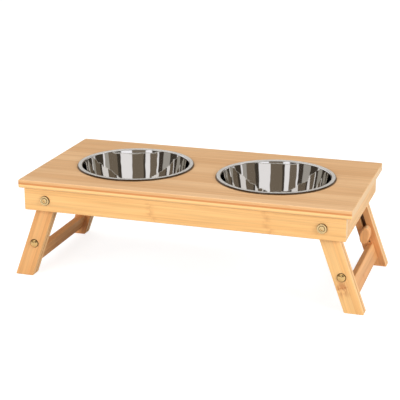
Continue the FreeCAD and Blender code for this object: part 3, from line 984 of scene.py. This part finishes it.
def make_pivot_bolts():
    """Flat-headed bolts with a groove and a six-sided socket in the head."""
    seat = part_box("rear_apron")[1].y
    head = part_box("pivot_bolts")[1].y - seat
    nut_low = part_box("pivot_nuts")[1].y - PIVOT_NUT_HEIGHT
    outline = bolt_end(nut_low - seat - PIVOT_BOLT_END)
    outline += [(BOLT_RADIUS, 0), (PIVOT_HEAD_RADIUS - HEAD_EDGE, 0), (PIVOT_HEAD_RADIUS, HEAD_EDGE)]
    corner = 1 * MM
    outline += arc(PIVOT_HEAD_RADIUS - corner, head - corner, corner, 0, 90, 6)
    groove = head - 0.5 * MM
    outline += [(5.3 * MM, head), (4.9 * MM, groove), (4.1 * MM, groove), (3.7 * MM, head), (0, head)]
    bolt = spun("pivot_bolt_metal", outline, 64)
    cut_away(bolt, rod("socket_tool", SOCKET_RADIUS, head - SOCKET_DEPTH, head + 2 * MM, (0, 0, 0), "Z", 6))
    stand_on_y(bolt, PIVOT.x, seat, PIVOT.z)
    right = join("pivot_bolts_metal", [bolt, twin(bolt, "pivot_bolt_twin", "Y")])
    bolts = join("pivot_bolts_metal", [right, twin(right, "pivot_bolt_pair", "X")])
    plating = bolt_plating_and_shade("pivot_bolt_plating", PIVOT_GOLD, 0.65, PIVOT, PIVOT_SHADE_RINGS)
    finish_piece(bolts, plating, "pivot_bolts", "top")


# Bowls

def bowl_outline(base, top):
    """Inner skin from the middle of the base up the wall and over the rolled rim."""
    rim = 84 * MM
    foot = 68.8 * MM - BOWL_WALL
    mouth = 78 * MM - BOWL_WALL
    floor = base + BOWL_WALL
    corner = 8.2 * MM
    shoulder = 1.4 * MM
    crown = 0.35 * MM
    roll = 1.4 * MM
    lip = 2.3 * MM
    lean = math.atan2(mouth - foot, top - base)
    tilt = math.degrees(lean)
    half_turn = math.tan((math.pi / 2 - lean) / 2)
    points = [(0, floor), (25 * MM, floor), (50 * MM, floor)]
    points += arc(foot - corner * half_turn, floor + corner, corner, -90, -tilt, 12)
    wall_low = points[-1]
    over = arc(mouth + shoulder * half_turn, top - shoulder - crown, shoulder, 180 - tilt, 92, 12)
    for step in range(1, 6):
        share = step / 6
        points.append(tuple(low + (high - low) * share for low, high in zip(wall_low, over[0])))
    points += over
    inner_x, inner_z = over[-1]
    outer_x = rim - roll
    for step in range(1, 5):
        share = step / 5
        bulge = crown * math.sin(math.pi * (0.5 * share))
        points.append((inner_x + (outer_x - inner_x) * share, inner_z + bulge))
    points += arc(outer_x, top - roll, roll, 90, 0, 7)
    points.append((rim, top - lip))
    return points


def make_bowls():
    low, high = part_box("right_bowl")
    bowl = spun("right_bowl_steel", bowl_outline(low.z, high.z), 192)
    apply_modifier(bowl, "SOLIDIFY", thickness=BOWL_WALL, offset=-1.0, use_even_offset=True)
    bowl.location = (middle_of("right_bowl").x, 0, 0)
    set_in_place(bowl)
    left = twin(bowl, "left_bowl_steel", "X")
    for side, piece in (("right", bowl), ("left", left)):
        finish_piece(piece, STAINLESS, side + "_bowl", side + "_bowl")


# Studio: floor, light and camera
WHITE = (1, 1, 1, 1)
AMBIENT = (0.5, 0.49, 0.48, 1)
PAPER_LIT = (0.65, 0.65, 0.65, 1)
PAPER_SEEN = (0.4, 0.4, 0.4, 1)
FLOOR_SEEN = 0.8
STAND_MIDDLE = Vector((0, 0, 0.1))


def make_floor():
    clear_selection()
    bpy.ops.mesh.primitive_plane_add(size=12.0, location=(0, 0, 0))
    floor = bpy.context.object
    floor.name = "studio_floor"
    material, tree, shader = new_material("studio_paper")
    shader.inputs["Roughness"].default_value = 0.9
    shader.inputs["Emission Color"].default_value = WHITE
    path = add_node(tree, "ShaderNodeLightPath").outputs
    seen = calc(tree, "MAXIMUM", path["Is Camera Ray"], path["Is Transmission Ray"])
    paper = blend(tree, seen, PAPER_LIT, PAPER_SEEN)
    tree.links.new(paper, shader.inputs["Base Color"])
    tree.links.new(times(tree, seen, FLOOR_SEEN), shader.inputs["Emission Strength"])
    floor.data.materials.append(material)


# What polished metal sees of the studio: two rows of dark, brown and grey flats with white
# gaps between them, each from one azimuth in degrees to the next, under a white ceiling with
# a grey middle. The heights are upward parts of the direction, where one fades to the next.
DARK_FLAT = (0.06, 0.05, 0.04, 1)
BROWN_FLAT = (0.19, 0.155, 0.12, 1)
GREY_FLAT = (0.42, 0.405, 0.385, 1)
WHITE_GAP = (1.0, 1.0, 1.06, 1)
FLATS = ((-180, DARK_FLAT), (-166, BROWN_FLAT), (-126, GREY_FLAT), (-105, WHITE_GAP), (-97, DARK_FLAT),
         (-50, GREY_FLAT), (-15, DARK_FLAT), (6, WHITE_GAP), (14, BROWN_FLAT), (46, WHITE_GAP),
         (67, DARK_FLAT), (76, BROWN_FLAT), (128, WHITE_GAP), (177, DARK_FLAT))
LOW_FLATS = ((-180, DARK_FLAT), (-105, WHITE_GAP), (-91, BROWN_FLAT), (-61, WHITE_GAP), (-37, DARK_FLAT))
CEILING_GREY = (0.3, 0.29, 0.28, 1)
ROWS_MEET = (0.11, 0.14)
CEILING_STARTS = (0.62, 0.7)
CEILING_GREYS = (0.8, 0.97)


def flats_ramp(tree, azimuth, flats):
    """Colour of a row of flats at an azimuth in radians, with slightly soft edges."""
    turn = calc(tree, "MULTIPLY_ADD", azimuth, 0.5 / math.pi, 0.5)
    bands = add_node(tree, "ShaderNodeValToRGB", {"Fac": turn})
    ramp = bands.color_ramp
    stops = [flats[0]]
    for before, here in zip(flats, flats[1:]):
        stops += [(here[0] - 0.8, before[1]), (here[0] + 0.8, here[1])]
    while len(ramp.elements) < len(stops):
        ramp.elements.new(1.0)
    for element, (angle, colour) in zip(ramp.elements, stops):
        element.position = (angle + 180) / 360
        element.color = colour
    return bands.outputs["Color"]


def make_world():
    world = bpy.data.worlds.new("studio_air")
    bpy.context.scene.world = world
    world.use_nodes = True
    tree = world.node_tree
    back = tree.nodes["Background"]
    way = add_node(tree, "ShaderNodeTexCoord").outputs["Generated"]
    axes = split(tree, way)
    azimuth = calc(tree, "ARCTAN2", axes[1], axes[0])
    low_row = flats_ramp(tree, azimuth, LOW_FLATS)
    high_row = flats_ramp(tree, azimuth, FLATS)
    flats = blend(tree, ease(tree, axes[2], *ROWS_MEET), low_row, high_row)
    ceiling = blend(tree, ease(tree, axes[2], *CEILING_GREYS), WHITE, CEILING_GREY)
    mirrored = blend(tree, ease(tree, axes[2], *CEILING_STARTS), flats, ceiling)
    path = add_node(tree, "ShaderNodeLightPath").outputs
    plain = calc(tree, "MAXIMUM", path["Is Camera Ray"], path["Is Transmission Ray"])
    soft = blend(tree, plain, AMBIENT, WHITE)
    tree.links.new(blend(tree, path["Is Glossy Ray"], soft, mirrored), back.inputs["Color"])


def softbox(name, place, width, height, power):
    """Lamp aimed at the stand and hidden from reflections."""
    lamp = bpy.data.lights.new(name, "AREA")
    lamp.shape = "RECTANGLE"
    lamp.size = width
    lamp.size_y = height
    lamp.energy = power
    holder = bpy.data.objects.new(name, lamp)
    bpy.context.scene.collection.objects.link(holder)
    holder.location = place
    holder.rotation_euler = (STAND_MIDDLE - Vector(place)).to_track_quat("-Z", "Y").to_euler()
    holder.visible_glossy = False


def make_lights():
    softbox("front_softbox", (-0.9, -2.4, 1.1), width=1.6, height=1.2, power=38)
    softbox("right_softbox", (2.2, -0.9, 1.0), width=1.2, height=1.0, power=33)
    softbox("top_softbox", (0.1, 0.3, 2.2), width=1.6, height=1.2, power=16)


def make_camera():
    data = bpy.data.cameras.new("photo_camera")
    data.lens = CAMERA_LENS
    data.sensor_width = CAMERA_SENSOR
    camera = bpy.data.objects.new("photo_camera", data)
    bpy.context.scene.collection.objects.link(camera)
    camera.location = CAMERA_PLACE
    camera.rotation_euler = (CAMERA_AIM - CAMERA_PLACE).to_track_quat("-Z", "Y").to_euler()
    bpy.context.scene.camera = camera


bpy.context.scene.view_settings.view_transform = "Standard"
dress_small_parts()
make_board()
make_aprons()
make_rails()
make_legs()
make_knobs()
make_clamp_bolts()
make_pivot_bolts()
make_bowls()
make_floor()
make_world()
make_lights()
make_camera()
